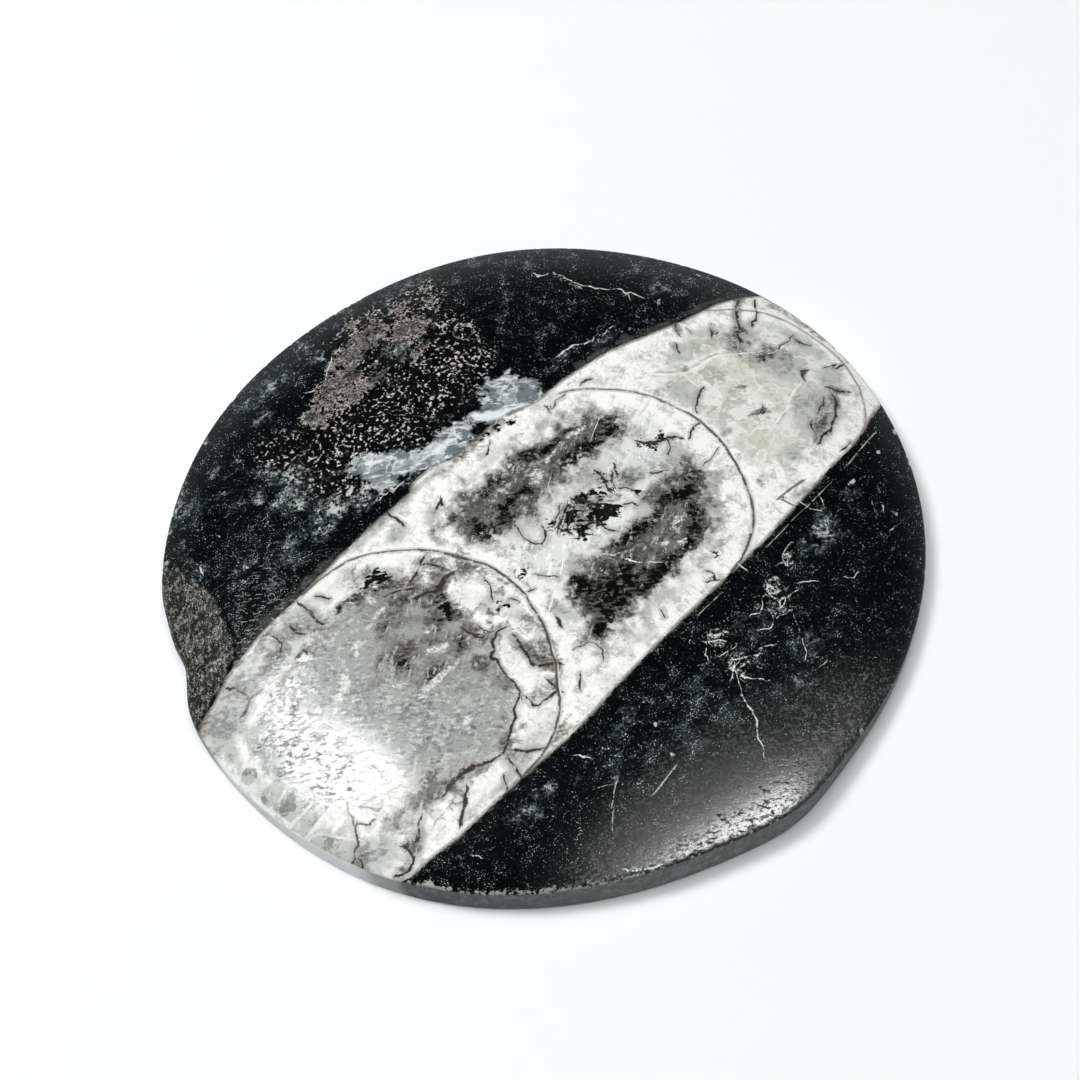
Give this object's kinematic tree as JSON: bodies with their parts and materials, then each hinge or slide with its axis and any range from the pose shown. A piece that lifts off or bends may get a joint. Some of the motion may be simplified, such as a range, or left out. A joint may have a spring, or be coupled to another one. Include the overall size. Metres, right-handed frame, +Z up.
{
  "type": "polished fossil palm stone",
  "caption": "Low-domed oval disc of black limestone, flat underneath, with a polished face that shows a pale chambered orthocone fossil lying lengthwise.",
  "frame": {"origin": "centre of the flat sawn base's bounding box, on the surface the stone lies on", "axes": "+X along the fossil towards its narrow end, +Y across the fossil in the plane of the base, towards the side with the brown pitted patch, +Z up out of the polished face"},
  "size_m": [0.0732, 0.0692, 0.0078],
  "materials": {
    "polished_limestone": "black limestone with white and grey calcite, polished above, sawn matte on the wall and base"
  },
  "bodies": {
    "root": {"fossil_stone": "polished_limestone"}
  },
  "joints": []
}
